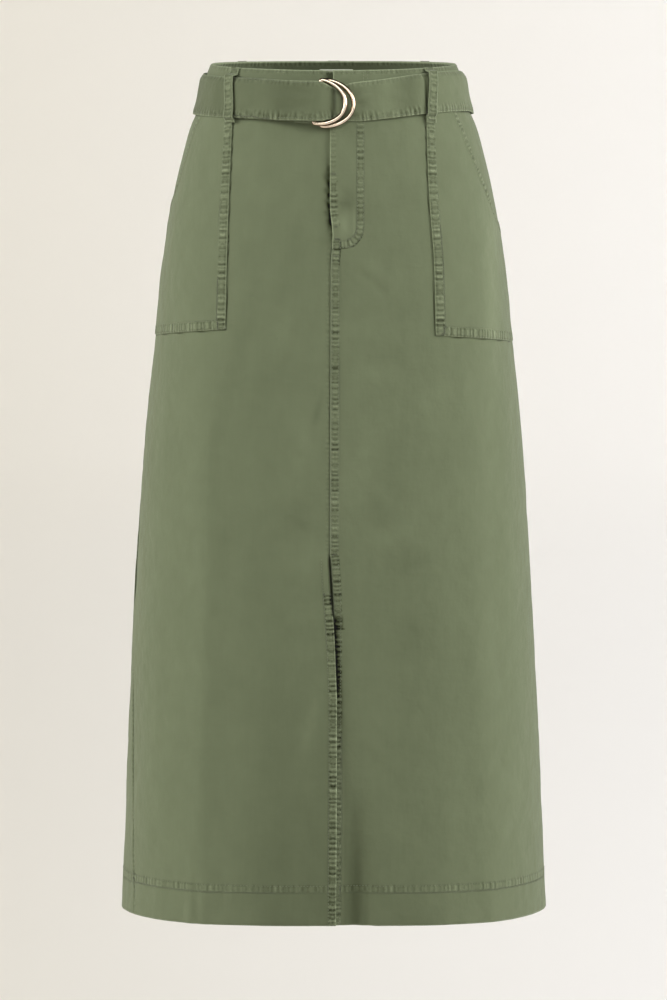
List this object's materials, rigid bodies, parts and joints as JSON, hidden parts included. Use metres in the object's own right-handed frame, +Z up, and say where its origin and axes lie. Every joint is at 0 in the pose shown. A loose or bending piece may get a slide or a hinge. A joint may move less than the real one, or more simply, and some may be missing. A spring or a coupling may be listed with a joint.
{
  "type": "cargo utility skirt",
  "caption": "Long A-line cotton utility skirt with patch pockets, a stitched front slit, belt loops and a cloth belt on D-rings.",
  "frame": {"origin": "centre of the waist opening, level with the side of the waistband's top edge", "axes": "+Z up along the skirt towards the waist, the front of the skirt faces -Y, +X towards the right as seen from the front"},
  "size_m": [0.4249, 0.2958, 0.8453],
  "materials": {
    "twill": "washed olive cotton twill with a soft matte surface",
    "ring_metal": "polished pale gold plating",
    "hook_metal": "plain nickel",
    "zip_tape": "matte woven tape",
    "label_cloth": "smooth woven ribbon, blank"
  },
  "bodies": {
    "root": {"front_left": "twill", "front_right": "twill", "back": "twill", "pocket_left": "twill", "pocket_right": "twill", "waistband_left": "twill", "waistband_right": "twill", "waistband_back": "twill", "waist_hook": "hook_metal", "fly_zip": "zip_tape", "inner_label": "label_cloth", "belt": "twill", "ring_inner": "ring_metal", "ring_outer": "ring_metal", "loop_front_left": "twill", "loop_front_right": "twill", "loop_back_left": "twill", "loop_back_centre": "twill", "loop_back_right": "twill"}
  },
  "joints": []
}
